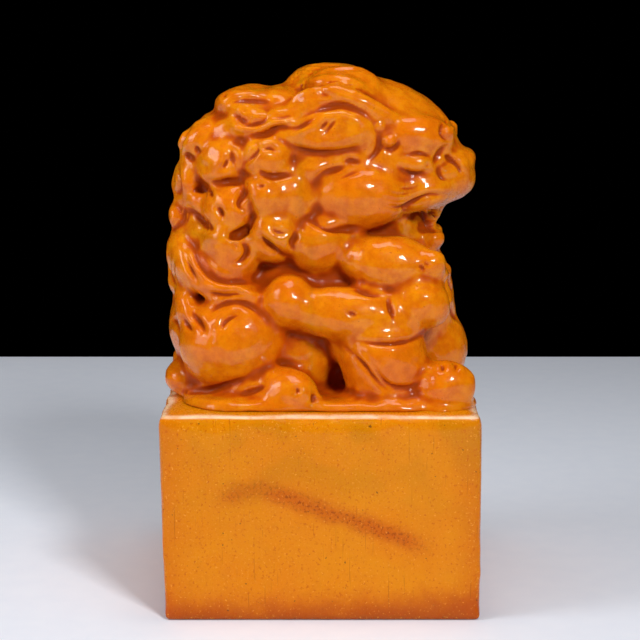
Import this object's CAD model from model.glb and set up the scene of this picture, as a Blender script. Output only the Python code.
"""Finish of the carved stone seal: a polished amber block with a guardian lion crouching on it.

The lion is cut as a carver cuts it: masses first, then the forms and lines are drawn on its flanks
and cut into the skin. All drawing sizes are in millimetres; the scene itself is in metres.
"""

import math

import bmesh
import bpy
import numpy as np
from mathutils import Matrix, Vector
from mathutils.noise import noise as noise_at


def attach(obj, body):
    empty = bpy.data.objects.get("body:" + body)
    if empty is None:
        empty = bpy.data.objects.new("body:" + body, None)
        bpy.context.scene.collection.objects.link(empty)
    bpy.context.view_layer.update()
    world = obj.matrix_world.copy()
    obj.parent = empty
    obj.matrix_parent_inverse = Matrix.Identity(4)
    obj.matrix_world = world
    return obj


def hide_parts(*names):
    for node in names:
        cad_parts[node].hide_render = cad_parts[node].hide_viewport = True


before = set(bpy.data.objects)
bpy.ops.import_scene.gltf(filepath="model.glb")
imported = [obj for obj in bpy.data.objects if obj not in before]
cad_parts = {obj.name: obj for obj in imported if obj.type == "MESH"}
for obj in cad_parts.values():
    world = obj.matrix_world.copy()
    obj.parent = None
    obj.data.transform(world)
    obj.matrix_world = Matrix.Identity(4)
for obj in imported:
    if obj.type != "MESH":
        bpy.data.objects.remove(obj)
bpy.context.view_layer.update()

bl_info = {
    "name": "Carved Stone Seal",
    "version": (1, 0, 0),
    "blender": (4, 5, 0),
    "location": "View3D > Sidebar > Stone Seal",
    "description": "Carves and polishes a stone seal with a guardian-lion handle",
    "category": "Object",
}

MM = 0.001
BODY = "root"

COARSER = 1

# Half the block's width and its height, from its CAD solid
block_corners = np.array(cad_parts["seal_block"].bound_box) / MM
HALF_WIDTH, _, BLOCK_TOP = (round(float(size), 2) for size in block_corners.max(axis=0))

# The carver's eye, where the camera also stands; the upright plane in front of it that the lines are
# drawn on; and the camera's tilt in degrees and its lens
EYE = np.array((0.0, -176.0, 55.4))
DRAWING_PLANE = -9.0
CAMERA_TILT = 80.5
CAMERA_LENS = 101.25

# Where the lion's skin is parted, and which way
NECK, NAPE, LOIN = (0, 0, 35.2), (-1.8, 0, 0), (-0.8, 0, 0)
UP, DOWN, FORWARD, BACK = (0, 0, 1), (0, 0, -1), (1, 0, 0), (-1, 0, 0)

# The head's own frame: its turn and the point it turns about
HEAD_TURN = 6.0
HEAD_PIVOT = np.array((-1.0, 0.4, 0.0))

# How far the skin of the lion's back stays inside the block's side, and how near vertices are merged
INSET = 0.05
MERGING = 0.001

# Facets of the block's skin, and rounds of polish once its edges are worn
BLOCK_GRAIN = 0.24
BLOCK_POLISH = 5

# The vein in the block's face: where it bends, its height there, how steeply it falls to both sides, how
# much more so toward the lion's front, and how far it wanders; the stretches over which it begins and
# ends; and the distances from its course over which its russet edge and its dotted middle fade
VEIN_BEND, VEIN_HEIGHT, VEIN_FALL, VEIN_LEAN, VEIN_WANDER = -5.4, 11.8, 0.31, 0.06, 1.4
VEIN_START, VEIN_END = (-10.5, -7.5), (7.0, 11.5)
VEIN_EDGE, VEIN_MIDDLE = (0.0, 1.7), (0.1, 1.2)

# The block's foot: heights over which its russet and its brown fade, how far these wander, and how much
# higher they reach away from the vein's bend
FOOT_RUSSET, FOOT_BROWN, FOOT_WANDER, FOOT_RISE = (0.8, 4.6), (0.4, 3.2), 2.2, 0.04

# How far the block's sides darken inward, the height from which it turns olive and how far below its top
# it is all olive, and the depths below its top over which the pale line of its worn edge begins and ends
SIDE_REACH = 3.5
OLIVE_FROM, OLIVE_BELOW_TOP = 6.0, 1.5
RIM_BEGINS, RIM_ENDS = (0.03, 0.14), (0.22, 0.36)

# Another part of the same noise, where it looks unlike the first
ELSEWHERE = (31, 7, 13)


def pair(*names):
    """Names of the nodes on both flanks."""
    return [f"{side}_{name}" for side in ("near", "far") for name in names]


# CAD nodes of each part of the lion, and of the block
HEAD_NODES = [
    "skull", "snout", "lower_jaw", "throat", "crown_knot", "poll_fold",
    *pair("brow", "nostril", "cheek", "eye", "ear")]
MANE_NODES = ["ruff", "poll_curl", *pair(
    "back_curls", "temple_curl", "nape_curl", "neck_curl", "shoulder_curl", "mane_lobes", "hair_locks")]
FORE_NODES = ["torso", "chest", "boulder", *pair("shoulder", "foreleg", "shank", "fore_paw")]
HIND_NODES = [
    "rump", "tail_plume", *pair("haunch", "hind_foot", "hind_paw", "upper_flame", "lower_flame")]
LEDGE_NODES = ["rock_ledge"]
BLOCK_NODES = ["seal_block"]

# Nodes that the lumps below stand for, so that they aren't among the masses
REDRAWN = pair("eye", "temple_curl", "neck_curl")


def size_field(name, description, default, least=0.0):
    """A size of the carving, given in millimetres."""
    return bpy.props.FloatProperty(
        name=name, description=description, default=default * MM, min=least * MM,
        subtype="DISTANCE", unit="LENGTH", precision=5)


def count_field(name, description, default):
    """A number of rounds of one kind of work."""
    return bpy.props.IntProperty(name=name, description=description, default=default, min=0)


def colour_field(name, description, default):
    """A colour of the stone."""
    return bpy.props.FloatVectorProperty(
        name=name, description=description, default=default, subtype="COLOR", min=0, max=1)


class SealSizes(bpy.types.PropertyGroup):
    """Sizes of the carving and of the block's wear."""

    rough_grain: size_field("Rough grain", "Facets that the masses are roughed out in", 0.32, 0.08)
    filling: count_field("Filling", "Rounds that fill the gaps between the masses", 24)
    grain: size_field("Grain", "Facets that the skin is carved in", 0.17, 0.08)
    softness: count_field("Softness", "Rounds of the first polish, which softens the masses", 6)
    unevenness: size_field("Unevenness", "How far the hand-cut skin swells and sinks", 0.13)
    edge_wear: size_field("Edge wear", "How far the block's edges are worn", 0.4)


class StoneColours(bpy.types.PropertyGroup):
    """Colours of the stone."""

    amber: colour_field("Amber", "Main colour of the stone", (0.75, 0.180, 0.001))
    honey: colour_field("Honey", "Paler, yellower patches", (0.78, 0.25, 0.002))
    russet: colour_field("Russet", "Deeper orange of the low places", (0.52, 0.070, 0.001))
    stain: colour_field("Stain", "Dark red-brown left in the creases", (0.26, 0.030, 0.001))
    ember: colour_field("Ember", "Deeper patches of the carving", (0.60, 0.120, 0.001))
    ochre: colour_field("Ochre", "Ground colour of the block", (0.75, 0.252, 0.001))
    olive: colour_field("Olive", "Duller upper part of the block", (0.58, 0.20, 0.001))
    umber: colour_field("Umber", "Brown at the foot of the block", (0.30, 0.07, 0.01))
    straw: colour_field("Straw", "Pale grains in the block", (0.92, 0.44, 0.06))
    soot: colour_field("Soot", "Black flecks in the block", (0.10, 0.03, 0.01))
    rubbed: colour_field("Rubbed", "Pale line along the block's worn edge", (1.0, 0.66, 0.42))


class Nodes:
    """A node tree, which adds a node from its type, its settings and its inputs.

    An input goes by its name, with two underscores for a space, or by an underscore and its number.
    """

    def __init__(self, tree):
        self.tree = tree

    def add(self, kind, settings=None, output=0, **inputs):
        node = self.tree.nodes.new(kind)
        for name, value in (settings or {}).items():
            setattr(node, name, value)
        for name, value in inputs.items():
            socket = node.inputs[int(name[1:]) if name[0] == "_" else name.replace("__", " ")]
            if isinstance(value, Wire):
                self.tree.links.new(value.socket, socket)
            elif socket.type == "RGBA":
                socket.default_value = (*value[:3], 1)
            else:
                socket.default_value = value
        return Wire(self, node.outputs[output]) if node.outputs else node


class Wire:
    """One output socket; sums and products of it add Math nodes."""

    def __init__(self, nodes, socket):
        self.nodes = nodes
        self.socket = socket

    def maths(self, operation, first, second):
        return self.nodes.add("ShaderNodeMath", {"operation": operation}, _0=first, _1=second)

    def __add__(self, other):
        return self.maths("ADD", self, other)

    def __radd__(self, other):
        return self.maths("ADD", other, self)

    def __sub__(self, other):
        return self.maths("SUBTRACT", self, other)

    def __rsub__(self, other):
        return self.maths("SUBTRACT", other, self)

    def __mul__(self, other):
        return self.maths("MULTIPLY", self, other)

    def __rmul__(self, other):
        return self.maths("MULTIPLY", other, self)

    def __abs__(self):
        return self.nodes.add("ShaderNodeMath", {"operation": "ABSOLUTE"}, _0=self)

    def output(self, name):
        """Another output of the same node."""
        return Wire(self.nodes, self.socket.node.outputs[name])

    def band(self, low, high, start=0.0, end=1.0):
        """Maps the stretch from low to high onto start to end, smoothly and clamped."""
        return self.nodes.add(
            "ShaderNodeMapRange", {"interpolation_type": "SMOOTHSTEP", "clamp": True},
            _0=self, _1=low, _2=high, _3=start, _4=end)


def blank(owner):
    """The empty node tree of a material or a world."""
    owner.use_nodes = True
    owner.node_tree.nodes.clear()
    return Nodes(owner.node_tree)


def mix(nodes, amount, under, over):
    """A colour that goes from one to the other."""
    return nodes.add("ShaderNodeMix", {"data_type": "RGBA"}, output=2, _0=amount, _6=under, _7=over)


def noise(nodes, spot, scale, detail=3.0, roughness=0.5, distortion=0.0):
    """A soft noise from 0 to 1, with about as many swells to the unit as its scale says."""
    return nodes.add(
        "ShaderNodeTexNoise", Vector=spot, Scale=scale, Detail=detail, Roughness=roughness,
        Distortion=distortion)


class Stone:
    """The polished, translucent stone while its material is put together, in millimetres."""

    ROUGH, WAX = (0.24, 0.36), (0.4, 0.6)  # roughness and coat of wax, the least and the most
    BLOCK_WAX = 0.4  # share of that coat on the block
    SCRATCHES = (0.7, (0.5, 1, 9)), (-0.9, (9, 1, 0.5))  # turns and stretches of the fine scratches
    SCRATCH_DEPTH = 0.4  # their share of the relief
    THREADS = 0.32, (5.0, 1.0, 0.16)  # turn and stretch of the block's threads

    def __init__(self, name, colours):
        self.material = bpy.data.materials.new(name)
        self.nodes = blank(self.material)
        self.colours = colours
        place = self.nodes.add("ShaderNodeTexCoord").output("Object")
        self.spot = self.nodes.add(
            "ShaderNodeVectorMath", {"operation": "SCALE"}, _0=place, Scale=1 / MM)
        self.mottle = self.noise(0.9, 4.0, 0.6)
        self.grain = self.noise(5.0, 3.0, 0.6)
        self.roughness = self.grain.band(0.3, 0.8, *self.ROUGH)
        self.wax = self.noise(0.7, 3.0, 0.6).band(0.3, 0.7, *self.WAX)
        self.relief = self.mottle * 0.5 + self.grain * 0.15
        self.ground()
        self.scratch()

    def noise(self, scale, detail=3.0, roughness=0.5, distortion=0.0, spot=None):
        """A soft noise on this stone."""
        return noise(self.nodes, spot or self.spot, scale, detail, roughness, distortion)

    def streaks(self, turn, stretch, detail=3.0, roughness=0.6):
        """A noise that is drawn out one way, turned in the upright plane."""
        drawn_out = self.nodes.add(
            "ShaderNodeMapping", Vector=self.spot, Rotation=(0, turn, 0), Scale=stretch)
        return self.noise(1.0, detail, roughness, spot=drawn_out)

    def tint(self, amount, colour):
        """Lays a colour over those below it."""
        self.colour = mix(self.nodes, amount, self.colour, colour)

    def ground(self):
        """Clouds of amber and honey with russet mottling and a few dark specks."""
        colours = self.colours
        cloud = self.noise(0.16, 4.0, 0.55, 0.6)
        specks = self.noise(2.6, 2.0).band(0.70, 0.76)
        self.colour = mix(self.nodes, cloud.band(0.35, 0.65), colours.amber, colours.honey)
        self.tint(self.mottle.band(0.45, 0.75) * 0.35, colours.russet)
        self.tint(self.grain.band(0.5, 0.8) * 0.25, colours.honey)
        self.tint(specks * 0.5, colours.stain)

    def scratch(self):
        """Fine polishing scratches in two directions."""
        for turn, stretch in self.SCRATCHES:
            self.relief = self.relief + self.streaks(turn, stretch) * self.SCRATCH_DEPTH

    def as_block(self):
        """What only the block shows, from its ground colour to its worn edge."""
        colours = self.colours
        apart = self.nodes.add("ShaderNodeSeparateXYZ", _0=self.spot)
        across, up = apart.output("X"), apart.output("Z")
        wander = self.noise(0.5, 3.0, 0.6)
        beside = abs(across - VEIN_BEND)
        self.wax = self.wax * self.BLOCK_WAX
        self.tint(0.6, colours.ochre)
        self.vein(across, up, beside, wander)

        foot = up + wander * FOOT_WANDER - beside * FOOT_RISE
        self.tint(foot.band(*FOOT_RUSSET, 0.85, 0.0), colours.russet)
        self.tint(foot.band(*FOOT_BROWN, 0.45, 0.0), colours.umber)
        self.tint(abs(across).band(HALF_WIDTH - SIDE_REACH, HALF_WIDTH) * 0.35, colours.russet)
        patches = self.noise(0.25, 2.0).band(0.4, 0.7)
        high = up.band(OLIVE_FROM, BLOCK_TOP - OLIVE_BELOW_TOP)
        self.tint(high * (0.3 + patches) * 0.6, colours.olive)
        self.specks()
        below = BLOCK_TOP - up
        rim = below.band(*RIM_BEGINS) * below.band(*RIM_ENDS, 1.0, 0.0)
        self.tint(rim * wander.band(0.3, 0.6, 0.35, 0.9), colours.rubbed)

    def vein(self, across, up, beside, wander):
        """The dotted red vein that runs across the block's face and bends down to both sides."""
        course = VEIN_HEIGHT - across * VEIN_LEAN - beside * VEIN_FALL + wander * VEIN_WANDER
        off = abs(up - course)
        run = across.band(*VEIN_START) * across.band(*VEIN_END, 1.0, 0.0)
        dots = self.noise(3.4, 3.0, 0.6).band(0.48, 0.70)
        self.tint(off.band(*VEIN_EDGE, 0.65, 0.0) * run, self.colours.russet)
        self.tint(off.band(*VEIN_MIDDLE, 1.0, 0.0) * run * dots, self.colours.stain)

    def specks(self):
        """Threads, pale and dark grains and black flecks of the block."""
        colours = self.colours
        threads = self.streaks(*self.THREADS, 2.0, 0.5)
        pale = self.noise(3.8, 2.0, 0.7)
        elsewhere = self.nodes.add("ShaderNodeVectorMath", _0=self.spot, _1=ELSEWHERE)
        dark = self.noise(3.6, 2.0, 0.7, spot=elsewhere)
        flecks = self.noise(2.4, 1.0, 0.4)
        self.tint(threads.band(0.66, 0.72) * 0.35, colours.stain)
        self.tint(pale.band(0.58, 0.74) * 0.55, colours.straw)
        self.tint(dark.band(0.56, 0.74) * 0.6, colours.russet)
        self.tint(flecks.band(0.74, 0.78) * 0.7, colours.soot)

    def as_carving(self):
        """What only the carving shows: deeper patches, and stained, dull, stippled creases."""
        colours = self.colours
        crease = self.nodes.add("ShaderNodeAttribute", {"attribute_name": "crease"}).output("Fac")
        self.relief = self.relief + self.noise(1.8, 2.0, 0.5, 0.4) * crease.band(0.05, 0.6) * 1.2
        self.wax = self.wax * crease.band(0.1, 1.0, 1.0, 0.25)
        self.roughness = self.roughness + crease.band(0.2, 1.2) * 0.15
        self.tint(self.mottle.band(0.3, 0.7, 0.10, 0.65), colours.ember)
        self.tint(crease.band(0.05, 0.9) * 0.9, colours.russet)
        self.tint(crease.band(0.6, 1.5) * 0.65, colours.stain)

    def polished(self):
        """Closes the material with the stone's gloss and glow."""
        bump = self.nodes.add("ShaderNodeBump", Strength=0.35, Distance=0.12 * MM, Height=self.relief)
        skin = self.nodes.add(
            "ShaderNodeBsdfPrincipled", Base__Color=self.colour, Roughness=self.roughness,
            Coat__Weight=self.wax, Coat__Roughness=0.07, Normal=bump, IOR=1.54,
            Specular__IOR__Level=0.05, Subsurface__Weight=0.25, Subsurface__Radius=(1.0, 0.35, 0.05),
            Subsurface__Scale=2.5 * MM)
        self.nodes.add("ShaderNodeOutputMaterial", Surface=skin)
        return self.material


def block_stone(colours):
    """The block's stone, with its vein and its darker foot."""
    stone = Stone("Block stone", colours)
    stone.as_block()
    return stone.polished()


def carved_stone(colours):
    """The carving's stone, made once for all its pieces."""
    name = "Carved stone"
    if name not in bpy.data.materials:
        stone = Stone(name, colours)
        stone.as_carving()
        stone.polished()
    return bpy.data.materials[name]


def smooth_line(points, step=0.2):
    """Points close together along a smooth line through the drawn ones, and their shares along it."""
    points = np.asarray(points, float)
    padded = np.vstack((2 * points[0] - points[1], points, 2 * points[-1] - points[-2]))
    line = []
    for a, b, c, d in zip(padded, padded[1:], padded[2:], padded[3:]):
        count = max(2, int(np.linalg.norm(c - b) / step))
        slope, bow, twist = c - a, 2 * a - 5 * b + 4 * c - d, 3 * b - a - 3 * c + d
        for t in np.arange(count) / count:
            line.append(0.5 * (2 * b + slope * t + bow * t * t + twist * t ** 3))
    line.append(points[-1])
    line = np.array(line)
    run = np.concatenate(([0], np.cumsum(np.linalg.norm(np.diff(line, axis=0), axis=1))))
    return line, run / run[-1]


def ease(value):
    """A smooth step from 0 to 1."""
    value = np.clip(value, 0, 1)
    return value * value * (3 - 2 * value)


class Skin:
    """A piece's skin while it is carved: its vertices and normals in millimetres."""

    CELL = 0.35  # squares of the drawing in which the skin nearest to the eye is looked for
    SLACK = 0.9  # how far behind it skin still counts as open to the eye
    GRAZING = 0.3  # facing below which a stroke fades away
    SWELLS = ((0.42, 1.0), (1.15, 0.45))  # waves to the millimetre, and height, of hand-cut unevenness
    CHIPS, EVEN = ((0.22, 0.6), (0.9, 0.3)), 0.5  # the same for the wear of an edge, and its even share
    EDGE_REACH = 0.55  # how far from an edge its wear reaches
    FAINT = 0.02  # wear too slight to be cut
    FOOT = 1.5  # height over which the wear begins above the rest face
    CREASES = ((6, 1.0), (26, 1.0), (104, 0.8))  # rounds of polish, and share, by which creases show
    CREASE_DEPTH, DEEPEST = 0.20, 1.5  # depth of one whole crease, and how many of it count at most
    TURNS = 4  # rounds of filling from one reading of the normals to the next
    STRENGTH = 0.5  # share of its way that a vertex goes in one round

    def __init__(self, piece):
        self.mesh = piece.data
        self.edges = None
        self.spots = np.empty(len(self.mesh.vertices) * 3)
        self.mesh.vertices.foreach_get("co", self.spots)
        self.spots = self.spots.reshape(-1, 3) / MM
        self.turn_out()

    def turn_out(self):
        """Writes the vertices to the mesh and reads its normals again."""
        self.mesh.vertices.foreach_set("co", (self.spots * MM).ravel())
        self.mesh.update()
        self.normals = np.empty(len(self.mesh.vertices) * 3)
        self.mesh.vertex_normals.foreach_get("vector", self.normals)
        self.normals = self.normals.reshape(-1, 3)

    def seen(self, view):
        """Drawing coordinates, facing and depth of every vertex from one of the views."""
        spots, normals = self.spots, self.normals
        if view in ("far", "far_head"):
            spots, normals = mirrored(spots, normals, view == "far_head")
        if view in ("near", "far", "far_head"):
            ray = EYE - spots
            reach = (EYE[1] - DRAWING_PLANE) / ray[:, 1]
            drawn = np.stack((EYE[0] - ray[:, 0] * reach, EYE[2] - ray[:, 2] * reach), axis=1)
            distance = np.linalg.norm(ray, axis=1)
            facing = (normals * ray).sum(axis=1) / distance
            return drawn, facing, distance
        sign = -1 if view == "back" else 1
        return spots[:, (1, 2)], sign * normals[:, 0], -sign * spots[:, 0]

    def visible(self, drawn, facing, distance):
        """How open to the view each vertex is: it faces it and nothing stands in front."""
        low = drawn.min(axis=0)
        index = ((drawn - low) / self.CELL).astype(int)
        shape = index.max(axis=0) + 1
        nearest = np.full(shape, np.inf)
        np.minimum.at(nearest, (index[:, 0], index[:, 1]), distance)
        behind = distance - nearest[index[:, 0], index[:, 1]]
        return ease(facing / self.GRAZING) * ease((self.SLACK - behind) / (self.SLACK / 2))

    def draw(self, strokes, views):
        """Cuts or raises every stroke as it is drawn from each of the views."""
        for view in views:
            drawn, facing, distance = self.seen(view)
            open_to = self.visible(drawn, facing, distance)
            moved = np.zeros(len(self.spots))
            for stroke in strokes:
                stroke.cut(drawn, open_to, moved)
            self.spots += self.normals * moved[:, None]
            self.turn_out()

    def polish(self, rounds):
        """Evens the skin: each vertex goes part of the way to the middle of its neighbours."""
        for _ in range(rounds):
            self.even()
        self.turn_out()

    def even(self):
        """One round of the polish."""
        if self.edges is None:
            edges = np.empty(len(self.mesh.edges) * 2, np.int32)
            self.mesh.edges.foreach_get("vertices", edges)
            self.edges = edges.reshape(-1, 2).T
            self.count = np.bincount(edges, minlength=len(self.spots))[:, None]
        first, second = self.edges
        total = np.stack([
            np.bincount(first, self.spots[second, axis], len(self.spots))
            + np.bincount(second, self.spots[first, axis], len(self.spots))
            for axis in range(3)], axis=1)
        self.spots = self.spots + self.STRENGTH * (total / self.count - self.spots)

    def fill(self, rounds):
        """Fills the gaps between masses: as the polish, but nothing that stands out is lowered."""
        for done in range(rounds):
            kept = self.spots.copy()
            self.even()
            rise = np.maximum(((self.spots - kept) * self.normals).sum(axis=1), 0)
            self.spots = kept + self.normals * rise[:, None]
            if done % self.TURNS == self.TURNS - 1:
                self.turn_out()
        self.turn_out()

    def swell(self, waves):
        """Soft random heights of all vertices, as the sum of the waves."""
        return np.array([
            sum(height * noise_at(spot * pace) for pace, height in waves)
            for spot in map(Vector, self.spots)])

    def handwork(self, amount):
        """Leaves the unevenness of a skin that was cut and polished by hand."""
        self.spots += self.normals * (amount * self.swell(self.SWELLS))[:, None]
        self.turn_out()

    def wear(self, amount):
        """Wears the edges between upright and flat faces, more in some places than in others."""
        half = np.abs(self.spots).max(axis=0)
        gaps = half - np.abs(self.spots)
        nearest = np.sort(gaps, axis=1)
        edge = np.exp(-(nearest[:, 0] + nearest[:, 1]) / self.EDGE_REACH)
        uneven = (self.EVEN + self.swell(self.CHIPS)) * (edge > self.FAINT)
        low = ease(self.spots[:, 2] / self.FOOT)
        depth = amount * edge * np.maximum(uneven, 0) / self.EVEN * low
        self.spots -= self.normals * depth[:, None]
        self.turn_out()

    def keep_creases(self):
        """Keeps how deep in a crease each vertex lies, and which way the skin faces there."""
        kept = self.spots.copy()
        depth = np.zeros(len(kept))
        for rounds, share in self.CREASES:
            self.spots = kept.copy()
            self.polish(rounds)
            depth += share * ((self.spots - kept) * self.normals).sum(axis=1)
        self.spots = kept
        self.turn_out()
        value = np.clip(depth / self.CREASE_DEPTH, 0, self.DEEPEST)
        attribute = self.mesh.attributes.new("crease", "FLOAT", "POINT")
        attribute.data.foreach_set("value", value.astype(np.float32))
        outward = self.mesh.attributes.new("outward", "FLOAT_VECTOR", "POINT")
        outward.data.foreach_set("vector", self.normals.astype(np.float32).ravel())


def reflection(with_head):
    """Reflection about the body's middle plane, or about the turned head's, and a point on the plane."""
    turn = math.radians(2 * HEAD_TURN) if with_head else 0
    rows = (
        (math.cos(turn), -math.sin(turn), 0),
        (-math.sin(turn), -math.cos(turn), 0),
        (0, 0, 1),
    )
    return rows, HEAD_PIVOT if with_head else np.zeros(3)


def mirrored(spots, normals, with_head):
    """Spots and normals of the skin reflected."""
    rows, pivot = reflection(with_head)
    turned = np.array(rows).T
    return (spots - pivot) @ turned + pivot, normals @ turned


class Groove:
    """A cut along a drawn line, shallow at its ends; a lip stands along its left side."""

    TOOL = 1.15  # how much wider and deeper the tool cuts than the line is drawn
    REACH = 3.2  # widths beyond which nothing is moved
    STEEPNESS = 1.6  # how steep the cut's sides are
    LIP_PLACE = 1.3  # widths from the line to the lip

    def __init__(self, points, width=0.45, depth=0.35, lip=0.10, ends=0.5):
        self.line, self.share = smooth_line(points)
        self.width, self.depth = self.TOOL * width, self.TOOL * depth
        self.lip, self.ends = lip, ends

    def cut(self, drawn, open_to, moved):
        """Adds to how far each vertex is moved outward."""
        reach = self.REACH * self.width
        low, high = self.line.min(axis=0) - reach, self.line.max(axis=0) + reach
        near = np.flatnonzero(((drawn > low) & (drawn < high)).all(axis=1) & (open_to > 0))
        if not len(near):
            return
        away, side, share = self.nearest(drawn[near])
        ends = ease(np.minimum(share, 1 - share) / self.ends)
        moved[near] += self.profile(away, side) * ends * open_to[near]

    def nearest(self, spots):
        """Distance to the line, the side it lies on and the share along it, for each spot."""
        best = np.full(len(spots), np.inf)
        side = np.zeros(len(spots))
        share = np.zeros(len(spots))
        for a, b, low, high in zip(self.line, self.line[1:], self.share, self.share[1:]):
            run = b - a
            t = np.clip((spots - a) @ run / (run @ run), 0, 1)
            gap = spots - (a + t[:, None] * run)
            away = np.hypot(gap[:, 0], gap[:, 1])
            closer = away < best
            best[closer] = away[closer]
            side[closer] = np.sign(run[0] * gap[closer, 1] - run[1] * gap[closer, 0])
            share[closer] = low + t[closer] * (high - low)
        return best, side, share

    def profile(self, away, side):
        """Height of the cut and its lip at a distance from the line."""
        cut = -self.depth * np.exp(-((away / self.width) ** 2) * self.STEEPNESS)
        lip = self.lip * np.exp(-((away - self.LIP_PLACE * self.width) / self.width) ** 2)
        return cut + lip * (side > 0)


class Step(Groove):
    """A ledge along a drawn line: the left side lies over the right one."""

    EDGE = 0.22  # width of the ledge's edge
    FADING = 1.5  # how fast the ledge fades away from the line
    CLEFT = 0.35  # share of the ledge's height that is cut along the line itself
    RAISED = 0.6  # share of its height that stands above the old skin

    def __init__(self, points, height, reach=1.1, ends=0.15):
        super().__init__(points, reach, height, 0, ends)

    def profile(self, away, side):
        """Height of the ledge at a distance from its line."""
        rise = 1 - np.exp(-(away / self.EDGE) ** 2)
        fade = np.exp(-(away / self.width) ** self.FADING)
        low = -self.depth * (self.CLEFT + (1 - self.CLEFT) * rise) * fade
        high = self.depth * ((1 + self.CLEFT) * rise - self.CLEFT) * fade
        return np.where(side > 0, high * self.RAISED, low)


class Mound:
    """A rounded rise, or a hollow where its height is below zero."""

    def __init__(self, centre, size, height, turn=0.0, fullness=2.0):
        self.centre, self.size, self.height = np.array(centre, float), np.array(size, float), height
        self.turn, self.fullness = math.radians(turn), fullness

    def cut(self, drawn, open_to, moved):
        """Adds to how far each vertex is moved outward."""
        gap = drawn - self.centre
        cos, sin = math.cos(self.turn), math.sin(self.turn)
        along = (gap[:, 0] * cos + gap[:, 1] * sin) / self.size[0]
        across = (gap[:, 1] * cos - gap[:, 0] * sin) / self.size[1]
        away = np.hypot(along, across)
        near = np.flatnonzero((away < 1) & (open_to > 0))
        moved[near] += self.height * (1 - away[near] ** self.fullness) ** self.fullness * open_to[near]


# Facets of a rounded mass before it is merged with the others
AROUND, UPWARD = 40, 24

# Rounded masses on the flanks, each as (across, up) on the drawing plane, depth of its middle, half its
# length, height and thickness, then, if it has them, its turn in the drawing and its swing toward the
# eye, in degrees
CORE_LUMPS = [
    (3.0, 41.5, 0.0, 8.5, 6.5, 5.2),
    (-5.0, 40.5, 0.0, 7.5, 7.5, 4.6),
    (2.0, 35.5, 0.0, 9.0, 4.5, 6.0),
    (-1.5, 29.5, 0.0, 11.5, 8.0, 7.4),
    (0.5, 23.0, 0.0, 8.0, 6.0, 5.6),
]
HEAD_LUMPS = [
    (0.1, 45.0, -6.3, 5.0, 2.3, 2.3, 4),
    (13.0, 42.6, -1.6, 1.5, 1.2, 2.0),
    (11.5, 44.9, -3.0, 1.0, 0.9, 1.2),
    (11.9, 39.4, -1.6, 1.5, 0.9, 3.2, 10, 20),
    (-1.4, 47.4, -4.8, 1.6, 0.8, 1.6, -8),
    (1.9, 47.95, -5.0, 2.4, 0.45, 1.3, 2),
    (4.7, 46.95, -5.4, 1.8, 0.45, 1.3, -33),
    (3.3, 39.2, -5.6, 4.8, 3.1, 3.3, -3),
    (8.3, 39.8, -3.8, 4.3, 2.3, 3.3, 5, 10),
    (1.6, 42.5, -4.6, 4.6, 1.9, 3.2),
    (8.9, 42.2, -5.4, 1.9, 1.1, 1.7, -4, 20),
    (8.0, 44.6, -4.6, 2.6, 1.5, 2.6, -5, 15),
    (5.6, 45.6, -6.4, 0.65, 0.6, 0.9),
    (6.45, 44.2, -6.6, 0.95, 0.75, 1.0, 20),
]
MANE_LUMPS = [
    (-0.9, 41.7, -6.3, 2.8, 1.5, 2.1, 8),
    (-8.3, 44.8, -3.4, 2.3, 1.7, 2.4),
    (-3.8, 46.7, -4.2, 2.6, 1.2, 2.4),
    (-11.2, 42.2, -3.0, 1.6, 1.3, 2.2),
    (-10.6, 35.8, -4.2, 1.7, 1.5, 2.4),
    (-7.3, 47.8, -2.95, 2.6, 1.5, 3.0, 5),
    (-6.7, 47.0, -4.75, 1.9, 1.05, 2.2, -8),
    (-3.9, 48.0, -2.05, 2.4, 1.35, 3.6),
    (-6.6, 45.5, -6.15, 1.9, 0.95, 1.6, -12),
    (-3.5, 45.9, -7.05, 2.2, 0.65, 1.2, 10),
    (-11.0, 44.6, -3.05, 2.6, 1.5, 2.7, 40),
    (-9.7, 42.2, -4.45, 2.0, 1.7, 2.0),
    (-7.2, 42.6, -5.95, 1.8, 0.95, 1.6, 66),
    (-4.6, 42.1, -6.95, 1.8, 1.05, 1.8),
    (-3.0, 39.2, -5.55, 3.2, 3.8, 3.5),
    (-5.4, 38.8, -6.95, 1.5, 1.4, 1.9),
    (-8.3, 38.0, -6.3, 2.6, 2.6, 2.6),
    (-4.0, 35.3, -6.6, 2.4, 1.8, 2.2, -35),
    (-11.2, 38.8, -4.15, 1.4, 0.95, 1.7, 5),
    (-12.8, 37.4, -1.95, 1.4, 1.7, 2.3),
    (-4.5, 36.2, -6.75, 2.0, 1.7, 2.1),
    (-8.0, 33.5, -6.75, 2.5, 2.35, 2.4),
    (0.3, 34.7, -6.55, 3.0, 2.3, 2.6),
    (-1.9, 34.6, -7.55, 1.3, 1.1, 1.7),
    (-12.0, 40.9, -2.05, 1.5, 2.3, 3.2),
]
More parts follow.
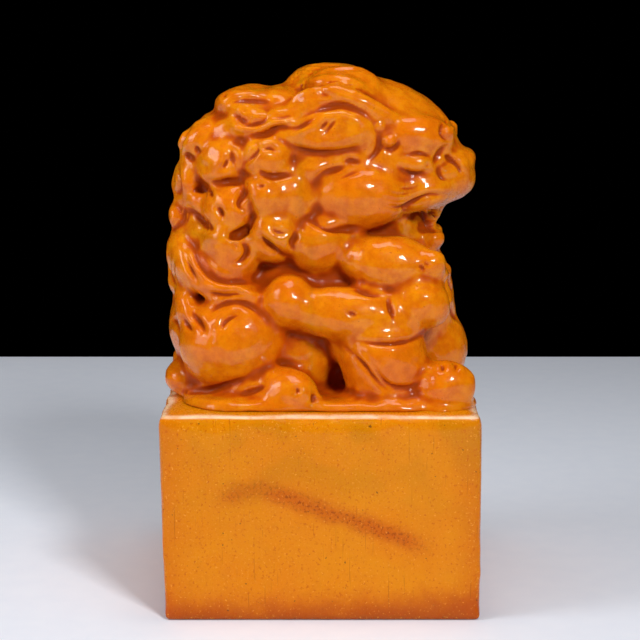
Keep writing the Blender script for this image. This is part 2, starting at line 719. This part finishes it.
BODY_LUMPS = [
    (10.6, 35.2, -2.4, 1.2, 1.1, 1.6),
    (11.2, 32.0, -2.2, 1.1, 1.3, 1.6),
    (11.2, 29.3, -2.6, 1.3, 1.0, 1.8),
    (9.3, 28.9, -8.4, 3.0, 2.35, 2.7, -10),
    (10.6, 32.2, -7.2, 1.7, 1.0, 1.9, -20, 10),
    (3.0, 24.6, -7.2, 2.7, 1.7, 3.0, -45),
    (7.6, 20.3, -8.2, 4.4, 1.6, 3.4),
    (-1.9, 24.3, -5.6, 3.2, 4.6, 3.4),
    (2.1, 22.2, -3.6, 1.6, 2.2, 2.4),
    (3.6, 26.4, -8.6, 2.8, 1.0, 2.3, -4),
    (12.0, 21.4, -9.4, 2.4, 2.2, 3.0),
    (11.3, 19.6, -8.6, 3.6, 0.9, 4.6),
    (-3.3, 20.4, -10.2, 2.9, 1.95, 2.7, 4),
    (-8.4, 20.3, -6.8, 6.2, 1.9, 2.2, 3, 33),
    (-13.0, 22.0, -4.6, 1.8, 1.6, 2.8),
    (-12.4, 33.9, -2.5, 2.1, 2.6, 3.6),
    (-13.3, 31.2, -1.5, 1.0, 1.3, 2.2),
    (-11.2, 32.6, -5.0, 2.5, 1.3, 1.9, -55),
    (-8.4, 30.8, -7.3, 3.2, 0.85, 1.7, -12, 15),
    (-12.2, 28.9, -5.4, 2.2, 1.1, 1.8, -62),
]

# Lines of the head, as they are seen on the near flank
HEAD_STROKES = [
    Step([(4.6, 48.6), (4.3, 49.4), (3.0, 50.2), (1.5, 50.5), (0.0, 50.4), (-1.6, 49.9), (-2.9, 49.1)],
         0.3),
    Groove([(0.35, 49.9), (0.1, 49.2), (0.3, 48.6), (1.0, 48.35), (2.3, 48.3)], 0.4, 0.3),
    Groove([(-4.9, 45.4), (-3.2, 45.8), (-1.9, 46.4), (-0.9, 47.0), (0.5, 47.4), (2.0, 47.6),
            (3.6, 47.1), (4.8, 46.1), (5.15, 45.1), (4.9, 44.3)], 0.45, 0.42, lip=0.2),
    Groove([(-4.4, 44.9), (-3.2, 44.1), (-1.6, 43.4), (0.2, 43.15), (2.2, 43.3), (3.8, 43.8),
            (4.7, 44.4)], 0.35, 0.3),
    Mound((0.9, 45.2), (3.6, 1.2), -0.25, 6),
    Groove([(1.8, 46.6), (1.1, 45.8), (0.5, 45.0), (0.2, 44.6)], 0.28, 0.3),
    Groove([(1.1, 46.6), (0.4, 45.8), (-0.2, 45.1)], 0.28, 0.3),
    Groove([(0.6, 46.9), (-0.8, 46.3), (-2.2, 45.5), (-3.6, 45.0)], 0.3, 0.3),
    Groove([(-0.1, 46.3), (-1.4, 45.7), (-2.8, 45.0)], 0.25, 0.25),
    Mound((6.45, 44.2), (0.95, 0.7), 0.35, 20),
    Mound((10.8, 36.9), (3.2, 1.3), -1.3, 14),
    Groove([(5.75, 44.3), (6.0, 43.7), (6.6, 43.5), (7.1, 43.9), (7.2, 44.8)], 0.3, 0.35),
    Mound((5.5, 45.6), (0.6, 0.55), 0.3),
    Groove([(4.1, 42.7), (4.9, 42.9), (5.4, 43.6), (5.5, 44.6), (5.9, 45.1)], 0.35, 0.4),
    Mound((8.9, 42.2), (1.9, 1.05), 0.45, -4, 2.5),
    Groove([(7.1, 42.1), (7.6, 41.6), (8.4, 41.3), (9.3, 41.3), (10.1, 41.8)], 0.26, 0.3),
    Groove([(7.7, 42.6), (8.4, 43.0), (9.2, 43.1), (10.0, 42.8), (10.4, 42.3)], 0.24, 0.16),
    Groove([(9.5, 41.8), (9.9, 42.0), (10.3, 42.3)], 0.3, 0.35),
    Groove([(12.1, 46.4), (11.4, 45.8), (11.3, 45.0), (11.7, 44.4), (12.4, 44.2)], 0.24, 0.4, ends=0.3),
    Mound((12.3, 45.3), (0.95, 0.9), 0.4),
    Groove([(12.3, 44.1), (11.4, 43.4), (10.8, 42.6), (10.4, 41.6)], 0.3, 0.35),
    Groove([(11.3, 43.1), (12.2, 42.5), (12.9, 41.8), (13.2, 41.0)], 0.24, 0.4, ends=0.3),
    Mound((12.0, 41.5), (1.0, 0.85), 0.35),
    Groove([(11.2, 42.3), (11.0, 41.6), (11.4, 40.8), (12.2, 40.5)], 0.24, 0.25),
    Groove([(4.8, 38.7), (6.0, 38.3), (7.5, 38.0), (8.5, 38.4), (9.6, 39.0), (10.5, 39.2), (12.0, 39.2),
            (13.4, 39.1)], 0.32, 0.45),
    Groove([(5.2, 39.3), (6.8, 38.8), (8.2, 38.9), (9.4, 39.5), (10.8, 39.7)], 0.2, 0.16),
    Groove([(5.6, 39.8), (7.2, 39.3), (8.6, 39.5), (9.8, 40.1)], 0.2, 0.16),
    Groove([(6.2, 40.3), (7.6, 39.8), (8.9, 40.0), (9.9, 40.6)], 0.2, 0.15),
    Groove([(7.4, 37.5), (7.7, 37.2), (8.4, 37.0), (9.4, 37.1), (10.4, 37.4), (12.0, 38.0)], 0.5, 0.9),
    Groove([(-1.5, 37.9), (-1.0, 37.1), (0.0, 36.5), (1.3, 36.1), (3.0, 36.05), (4.6, 36.4)], 0.38, 0.6),
    Groove([(-0.9, 39.9), (0.2, 41.2), (1.8, 41.7), (3.9, 42.2)], 0.4, 0.28),
    Groove([(1.2, 40.4), (2.6, 41.2), (4.1, 41.6)], 0.32, 0.25),
    Groove([(1.8, 42.3), (2.9, 42.5), (4.0, 42.1)], 0.28, 0.28),
]

# Lines of the mane
MANE_STROKES = [
    Groove([(-9.2, 47.0), (-8.3, 47.75), (-7.2, 48.1), (-6.0, 48.05), (-4.6, 47.9), (-4.0, 48.1)],
           0.32, 0.4),
    Groove([(-8.3, 47.2), (-7.9, 46.7), (-7.1, 46.35), (-6.0, 46.35)], 0.32, 0.55),
    Groove([(-7.6, 47.3), (-7.1, 47.1), (-6.4, 46.75)], 0.25, 0.3),
    Groove([(-8.6, 46.9), (-7.8, 46.1), (-6.5, 45.85), (-5.3, 46.1), (-4.9, 46.9), (-4.6, 47.7)],
           0.35, 0.45),
    Groove([(-9.2, 48.8), (-8.9, 48.5), (-8.5, 48.6)], 0.25, 0.3),
    Groove([(-7.6, 45.2), (-6.3, 44.8), (-5.0, 45.0), (-4.0, 45.4), (-2.6, 45.6), (-1.7, 46.3)],
           0.4, 0.55),
    Groove([(-5.0, 46.3), (-3.4, 46.6), (-1.8, 46.7)], 0.35, 0.35),
    Groove([(-13.0, 43.3), (-12.2, 42.8), (-11.4, 42.4)], 0.35, 0.45),
    Groove([(-11.7, 44.0), (-11.4, 43.5), (-11.0, 43.0)], 0.28, 0.3),
    Groove([(-10.6, 40.6), (-9.5, 40.35), (-8.5, 40.5), (-7.3, 40.55), (-6.9, 41.1)], 0.35, 0.6),
    Groove([(-8.8, 43.2), (-8.65, 42.5), (-8.9, 41.9), (-9.6, 41.6)], 0.32, 0.55),
    Groove([(-6.9, 44.0), (-6.2, 44.1), (-5.85, 43.6), (-6.2, 43.0), (-6.9, 42.3), (-7.1, 41.5)],
           0.32, 0.5),
    Groove([(-8.4, 43.9), (-8.1, 42.8), (-7.9, 41.4)], 0.35, 0.45),
    Groove([(-6.1, 42.5), (-5.5, 41.4), (-4.5, 41.0), (-3.0, 41.1), (-1.8, 41.0)], 0.32, 0.4),
    Groove([(-6.0, 43.2), (-4.9, 43.7), (-4.2, 43.5), (-3.4, 43.0)], 0.3, 0.4),
    Groove([(-6.1, 40.1), (-5.4, 40.2), (-4.8, 40.3)], 0.28, 0.35),
    Groove([(-6.7, 40.1), (-7.2, 39.2), (-7.5, 38.4), (-7.1, 37.8), (-6.5, 37.7)], 0.35, 0.5),
    Groove([(-9.9, 38.4), (-9.4, 37.8), (-9.2, 37.2), (-9.4, 36.7)], 0.34, 0.6),
    Groove([(-9.5, 35.55), (-8.2, 35.4), (-7.2, 35.8), (-6.4, 36.3), (-5.9, 36.7)], 0.38, 0.65),
    Groove([(-12.6, 38.5), (-11.7, 37.5), (-10.9, 36.8), (-10.2, 36.1), (-9.4, 35.6)], 0.35, 0.5),
    Groove([(-12.3, 39.4), (-11.4, 39.75), (-10.5, 39.7), (-10.1, 39.1), (-10.3, 38.4)], 0.3, 0.45),
    Groove([(-6.4, 36.3), (-5.8, 35.6), (-5.2, 34.8), (-4.4, 34.1), (-3.2, 33.5), (-2.2, 33.4)],
           0.45, 0.8),
    Groove([(-8.3, 35.2), (-7.5, 35.0), (-6.95, 34.4), (-6.8, 33.7), (-7.2, 33.1), (-8.0, 32.8),
            (-8.9, 32.95)], 0.35, 0.6),
    Groove([(-8.4, 34.9), (-7.8, 34.5), (-7.6, 33.9)], 0.25, 0.3),
    Groove([(-4.9, 36.9), (-4.3, 36.0), (-3.2, 35.7), (-2.4, 36.2)], 0.3, 0.35),
    Groove([(-2.4, 36.4), (-2.3, 35.4), (-2.6, 34.6), (-2.2, 33.6)], 0.35, 0.45),
]

# Lines of the tail, its flames and the flank behind
HIND_STROKES = [
    Groove([(-12.8, 34.2), (-12.6, 33.4), (-12.2, 32.3), (-11.6, 31.2), (-11.3, 30.5)], 0.32, 0.45),
    Groove([(-12.1, 34.6), (-11.5, 33.2), (-10.9, 32.3), (-10.1, 31.5), (-9.0, 31.1), (-7.6, 30.8)],
           0.32, 0.45),
    Groove([(-11.3, 34.0), (-10.6, 32.7), (-9.7, 31.7), (-8.5, 31.25), (-7.0, 31.0), (-5.8, 30.8)],
           0.3, 0.4),
    Groove([(-14.0, 33.0), (-13.8, 32.3), (-13.5, 31.7)], 0.28, 0.3),
    Groove([(-11.9, 30.2), (-10.5, 30.0), (-9.0, 29.75), (-7.7, 29.9), (-6.5, 29.4), (-5.7, 28.9)],
           0.35, 0.5),
    Groove([(-12.3, 29.0), (-11.9, 28.0), (-11.4, 27.3), (-11.0, 26.6), (-10.7, 25.7)], 0.35, 0.5),
    Groove([(-13.2, 28.2), (-12.8, 27.4), (-12.3, 26.7), (-11.7, 26.0)], 0.28, 0.35),
    Groove([(-10.5, 26.9), (-10.4, 28.0), (-9.6, 28.8), (-8.4, 29.15), (-7.2, 29.1), (-6.2, 28.6),
            (-5.5, 27.9), (-4.9, 27.3)], 0.32, 0.4),
    Groove([(-9.3, 25.9), (-9.2, 26.9), (-8.7, 27.6), (-7.8, 27.95), (-6.9, 28.0)], 0.32, 0.4),
    Groove([(-14.3, 20.8), (-12.5, 20.5), (-10.5, 20.8), (-9.0, 21.2), (-7.3, 21.8), (-6.0, 22.6)],
           0.32, 0.4),
    Groove([(-8.0, 20.2), (-6.6, 20.6), (-5.4, 21.1), (-4.8, 21.6)], 0.3, 0.35),
    Groove([(-2.15, 21.4), (-2.1, 20.7), (-2.2, 20.0)], 0.28, 0.35),
    Groove([(-0.7, 20.8), (-0.55, 20.0), (-0.9, 19.2)], 0.28, 0.35),
]

# Lines of the shoulder, the foreleg and the fore paw
FORE_STROKES = [
    Groove([(9.1, 32.8), (9.5, 32.5), (10.0, 32.0)], 0.22, 0.3),
    Groove([(9.5, 33.2), (9.9, 32.8), (10.4, 32.4)], 0.22, 0.3),
    Groove([(2.4, 30.5), (3.6, 30.3), (5.0, 29.9), (6.4, 29.6)], 0.3, 0.35),
    Groove([(6.5, 29.9), (6.4, 29.3), (6.7, 28.4), (6.9, 27.6), (6.9, 26.9)], 0.35, 0.5),
    Mound((3.05, 28.05), (0.75, 0.35), -0.35, -25),
    Groove([(2.6, 25.6), (4.4, 25.3), (6.6, 25.25), (8.4, 25.5), (9.5, 26.0), (10.4, 26.9)], 0.35, 0.5),
    Groove([(1.6, 25.5), (3.0, 24.3), (4.1, 23.2), (4.9, 22.1), (5.8, 21.2), (6.8, 20.7), (8.0, 20.55)],
           0.26, 0.35),
    Groove([(4.0, 24.7), (4.7, 23.6), (5.4, 22.4), (6.2, 21.5), (7.1, 21.05), (8.3, 21.0), (9.3, 21.4),
            (10.1, 22.2)], 0.26, 0.35),
    Groove([(11.3, 23.6), (11.6, 22.9), (11.4, 22.3)], 0.26, 0.3),
    Groove([(12.7, 23.8), (12.9, 23.0), (12.8, 22.3)], 0.26, 0.3),
]

# Lines drawn on the back and on the chest, as (sideways, up), and their mirror images
CURL = [(-1.3, 0.6), (-0.5, 1.3), (0.6, 1.2), (1.2, 0.2), (0.7, -0.8), (-0.3, -0.9), (-0.7, -0.1)]
BACK_LINES = [
    *[[(side + y, height + z) for y, z in CURL]
      for side, height in ((3.2, 43.9), (3.1, 39.9), (3.0, 36.4))],
    [(0.0, 46.5), (0.15, 43.0), (0.1, 39.5), (0.0, 36.8)],
    [(0.7, 34.4), (0.9, 32.4), (1.6, 30.4), (2.9, 29.0)],
    [(1.6, 34.2), (2.3, 32.2), (3.6, 30.5), (5.2, 29.6)],
    [(2.4, 25.9), (4.4, 26.6), (6.4, 26.0), (7.6, 24.6)],
]
CHEST_LINES = [
    [(0.0, height), (1.3, height + 0.25), (2.4, height + 1.1), (3.2, height + 2.4)]
    for height in (31.6, 28.8, 26.2)]


def on_both_sides(lines, width=0.4, depth=0.38):
    """Grooves along the lines and along their mirror images."""
    return [
        Groove([(sign * y, z) for y, z in line], width, depth) for line in lines for sign in (1, -1)]


def mirror_matrix(with_head):
    """The reflection in metres."""
    rows, pivot = reflection(with_head)
    pivot = Vector(pivot) * MM
    return Matrix.Translation(pivot) @ Matrix(rows).to_4x4() @ Matrix.Translation(-pivot)


def lump_place(across, up, depth, half_length, height, thickness, turn=0, swing=0):
    """Where a rounded mass stands, and its shape, as they are seen from the drawing."""
    nearer = (depth - EYE[1]) / (DRAWING_PLANE - EYE[1])
    middle = Vector((across * nearer, depth, EYE[2] + (up - EYE[2]) * nearer)) * MM
    place = Matrix.Translation(middle)
    place @= Matrix.Rotation(-math.radians(turn), 4, "Y")
    place @= Matrix.Rotation(-math.radians(swing), 4, "Z")
    place @= Matrix.Diagonal((half_length * MM, thickness * MM, height * MM, 1))
    return place


def add_lumps(bm, lumps, with_head):
    """Adds rounded masses on the near flank, and their mirror images on the far one."""
    round_one = bmesh.new()
    bmesh.ops.create_uvsphere(round_one, u_segments=AROUND, v_segments=UPWARD, radius=1)
    ball = bpy.data.meshes.new("ball")
    round_one.to_mesh(ball)
    round_one.free()
    for settings in lumps:
        lump = ball.copy()
        lump.transform(lump_place(*settings))
        bm.from_mesh(lump)
        lump.transform(mirror_matrix(with_head))
        lump.flip_normals()
        bm.from_mesh(lump)
        bpy.data.meshes.remove(lump)
    bpy.data.meshes.remove(ball)


def cad_masses(nodes):
    """Copies of CAD nodes, all still apart."""
    bm = bmesh.new()
    for node in nodes:
        bm.from_mesh(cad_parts[node].data)
    bmesh.ops.remove_doubles(bm, verts=bm.verts, dist=MERGING * MM)
    return bm


def placed(name, bm):
    """A new object of the scene from the mesh that was built."""
    mesh = bpy.data.meshes.new(name)
    bm.to_mesh(mesh)
    bm.free()
    made = bpy.data.objects.new(name, mesh)
    bpy.context.scene.collection.objects.link(made)
    return made


def remeshed(piece, grain):
    """Gives the piece one closed skin of even facets."""
    remesh = piece.modifiers.new("Grain", "REMESH")
    remesh.mode = "VOXEL"
    remesh.voxel_size = grain
    apply_modifiers(piece)


def apply_modifiers(piece):
    """Turns the piece's modifiers into its mesh."""
    depsgraph = bpy.context.evaluated_depsgraph_get()
    old = piece.data
    piece.data = bpy.data.meshes.new_from_object(piece.evaluated_get(depsgraph))
    piece.data.name = piece.name
    piece.modifiers.clear()
    bpy.data.meshes.remove(old)


def finish_piece(piece, material, nodes):
    """Shades a piece smooth, gives it its stone and lets it stand for its CAD nodes."""
    piece.data.materials.clear()
    piece.data.materials.append(material)
    piece.data.polygons.foreach_set("use_smooth", [True] * len(piece.data.polygons))
    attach(piece, BODY)
    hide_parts(*nodes)


def whole_lion(context):
    """The lion in one skin: masses filled together, polished, drawn on and given its creases."""
    sizes = context.scene.seal_sizes
    nodes = HEAD_NODES + MANE_NODES + FORE_NODES + HIND_NODES + LEDGE_NODES
    masses = cad_masses([name for name in nodes if name not in REDRAWN])
    add_lumps(masses, HEAD_LUMPS + MANE_LUMPS, True)
    add_lumps(masses, CORE_LUMPS + BODY_LUMPS, False)
    lion = placed("lion", masses)
    remeshed(lion, sizes.rough_grain * COARSER)
    Skin(lion).fill(int(sizes.filling / COARSER ** 2))
    remeshed(lion, sizes.grain * COARSER)
    skin = Skin(lion)
    skin.polish(max(1, int(sizes.softness / COARSER ** 2)))
    skin.handwork(sizes.unevenness / MM)
    skin.draw(HEAD_STROKES + MANE_STROKES, ("near", "far_head"))
    skin.draw(FORE_STROKES + HIND_STROKES, ("near", "far"))
    skin.draw(on_both_sides(BACK_LINES), ("back",))
    skin.draw(on_both_sides(CHEST_LINES), ("front",))
    skin.polish(1)
    skin.spots[:, 0] = np.maximum(skin.spots[:, 0], INSET - HALF_WIDTH)
    skin.keep_creases()
    return lion


def carved_piece(context, name, nodes, cuts):
    """Makes one part of the lion's skin, cut off and closed along planes inside the stone."""
    lion = bpy.data.objects.get("lion") or whole_lion(context)
    bm = bmesh.new()
    bm.from_mesh(lion.data)
    for spot, away in cuts:
        everything = bm.verts[:] + bm.edges[:] + bm.faces[:]
        cut = bmesh.ops.bisect_plane(
            bm, geom=everything, dist=0, plane_co=Vector(spot) * MM, plane_no=away, clear_outer=True)
        rim = [item for item in cut["geom_cut"] if isinstance(item, bmesh.types.BMEdge)]
        bmesh.ops.triangle_fill(bm, use_beauty=True, edges=rim, normal=away)
    piece = placed(name, bm)
    mesh = piece.data
    outward = np.empty(len(mesh.vertices) * 3, np.float32)
    mesh.attributes["outward"].data.foreach_get("vector", outward)
    finish_piece(piece, carved_stone(context.scene.stone_colours), nodes)
    mesh.normals_split_custom_set_from_vertices(outward.reshape(-1, 3))
    mesh.attributes.remove(mesh.attributes["outward"])


class SEAL_OT_block(bpy.types.Operator):
    """Grind the block and wear its edges."""

    bl_idname = "seal.block"
    bl_label = "Block"

    def execute(self, context):
        block = placed("block", cad_masses(BLOCK_NODES))
        remeshed(block, BLOCK_GRAIN * MM * COARSER)
        skin = Skin(block)
        skin.wear(context.scene.seal_sizes.edge_wear / MM)
        skin.polish(BLOCK_POLISH)
        finish_piece(block, block_stone(context.scene.stone_colours), BLOCK_NODES)
        return {"FINISHED"}


class SEAL_OT_head(bpy.types.Operator):
    """Carve the lion's head."""

    bl_idname = "seal.head"
    bl_label = "Head"

    def execute(self, context):
        carved_piece(context, "lion_head", HEAD_NODES, [(NECK, DOWN), (NAPE, BACK)])
        return {"FINISHED"}


class SEAL_OT_mane(bpy.types.Operator):
    """Carve the mane."""

    bl_idname = "seal.mane"
    bl_label = "Mane"

    def execute(self, context):
        carved_piece(context, "lion_mane", MANE_NODES, [(NECK, DOWN), (NAPE, FORWARD)])
        return {"FINISHED"}


class SEAL_OT_forequarters(bpy.types.Operator):
    """Carve the chest, the forelegs and the ledge that the lion crouches on."""

    bl_idname = "seal.forequarters"
    bl_label = "Forequarters"

    def execute(self, context):
        carved_piece(context, "forequarters", FORE_NODES + LEDGE_NODES, [(NECK, UP), (LOIN, BACK)])
        return {"FINISHED"}


class SEAL_OT_hindquarters(bpy.types.Operator):
    """Carve the haunches, the hind feet and the tail."""

    bl_idname = "seal.hindquarters"
    bl_label = "Hindquarters"

    def execute(self, context):
        carved_piece(context, "hindquarters", HIND_NODES, [(NECK, UP), (LOIN, FORWARD)])
        bpy.data.objects.remove(bpy.data.objects["lion"])
        return {"FINISHED"}


# Soft square lamps: name, place, what it faces, width and watts
LAMPS = (
    ("key", (90, -190, 170), (0, 0, 28), 46, 0.43),
    ("fill", (-200, -120, 90), (0, 0, 25), 90, 0.08),
    ("table", (-170, -60, 150), (-150, -10, 0), 90, 0.20),
    ("top", (5, -10, 210), (0, 0, 30), 80, 0.10),
)

# The table in metres: half its width and depth, and how far its middle lies toward the camera; its two
# colours and the size of their grain; and the room, as its light falls on things and as it is seen
TABLE_HALF, TABLE_SHIFT = (0.8, 0.31), 0.192
TABLE_COLOURS, TABLE_GRAIN = ((0.81, 0.855, 0.95), (0.87, 0.905, 0.98)), 400.0
ROOM_LIGHT, ROOM_SEEN = (0.07, 0.07, 0.075), (0.0, 0.0, 0.0)


def lamp(name, spot, aim, size, power):
    """A soft square lamp that faces a spot."""
    data = bpy.data.lights.new(name, "AREA")
    data.shape = "SQUARE"
    data.size = size * MM
    data.energy = power
    light = bpy.data.objects.new(name, data)
    light.location = Vector(spot) * MM
    light.rotation_euler = (Vector(aim) - Vector(spot)).to_track_quat("-Z", "Y").to_euler()
    bpy.context.scene.collection.objects.link(light)


class SEAL_OT_stage(bpy.types.Operator):
    """Set up the table, the lamps and the camera."""

    bl_idname = "seal.stage"
    bl_label = "Stage"

    def execute(self, context):
        pale_table()
        for settings in LAMPS:
            lamp(*settings)
        dark_room(context.scene)
        camera_of_photo(context.scene)
        context.scene.view_settings.view_transform = "Standard"
        return {"FINISHED"}


def pale_table():
    """The plain pale table."""
    bm = bmesh.new()
    bmesh.ops.create_grid(bm, x_segments=1, y_segments=1, size=1)
    bmesh.ops.scale(bm, vec=(*TABLE_HALF, 1), verts=bm.verts)
    bmesh.ops.translate(bm, vec=(0, -TABLE_SHIFT, 0), verts=bm.verts)
    table = placed("table", bm)
    material = bpy.data.materials.new("Pale table")
    nodes = blank(material)
    grain = noise(nodes, nodes.add("ShaderNodeTexCoord").output("Object"), TABLE_GRAIN)
    top = nodes.add(
        "ShaderNodeBsdfPrincipled", Base__Color=mix(nodes, grain, *TABLE_COLOURS), Roughness=0.7)
    nodes.add("ShaderNodeOutputMaterial", Surface=top)
    table.data.materials.append(material)


def dark_room(scene):
    """The dark room, which the camera, gloss and glass see darker than its light is."""
    scene.world = bpy.data.worlds.new("Studio")
    nodes = blank(scene.world)
    ray = nodes.add("ShaderNodeLightPath")
    seen = ray.output("Is Camera Ray") + ray.output("Is Glossy Ray") + ray.output("Is Transmission Ray")
    shade = nodes.add("ShaderNodeBackground", Color=mix(nodes, seen, ROOM_LIGHT, ROOM_SEEN))
    nodes.add("ShaderNodeOutputWorld", Surface=shade)


def camera_of_photo(scene):
    """The camera, where the carver's eye is."""
    data = bpy.data.cameras.new("camera")
    data.lens = CAMERA_LENS
    data.clip_start = 10 * MM
    camera = bpy.data.objects.new("camera", data)
    camera.location = Vector(EYE) * MM
    camera.rotation_euler = (math.radians(CAMERA_TILT), 0, 0)
    scene.collection.objects.link(camera)
    scene.camera = camera


OPERATORS = (
    SEAL_OT_block, SEAL_OT_head, SEAL_OT_mane, SEAL_OT_forequarters, SEAL_OT_hindquarters,
    SEAL_OT_stage,
)


class SEAL_PT_panel(bpy.types.Panel):
    """Lists the steps of the carving."""

    bl_idname = "SEAL_PT_panel"
    bl_label = "Stone Seal"
    bl_space_type = "VIEW_3D"
    bl_region_type = "UI"
    bl_category = "Stone Seal"

    def draw(self, context):
        layout = self.layout
        for group in (context.scene.seal_sizes, context.scene.stone_colours):
            for name in group.__annotations__:
                layout.prop(group, name)
        for operator in OPERATORS:
            layout.operator(operator.bl_idname)


CLASSES = (SealSizes, StoneColours, *OPERATORS, SEAL_PT_panel)


def register():
    for item in CLASSES:
        bpy.utils.register_class(item)
    bpy.types.Scene.seal_sizes = bpy.props.PointerProperty(type=SealSizes)
    bpy.types.Scene.stone_colours = bpy.props.PointerProperty(type=StoneColours)


def unregister():
    del bpy.types.Scene.stone_colours
    del bpy.types.Scene.seal_sizes
    for item in reversed(CLASSES):
        bpy.utils.unregister_class(item)


def main():
    register()
    bpy.ops.seal.block()
    bpy.ops.seal.head()
    bpy.ops.seal.mane()
    bpy.ops.seal.forequarters()
    bpy.ops.seal.hindquarters()
    bpy.ops.seal.stage()


if __name__ == "__main__":
    main()
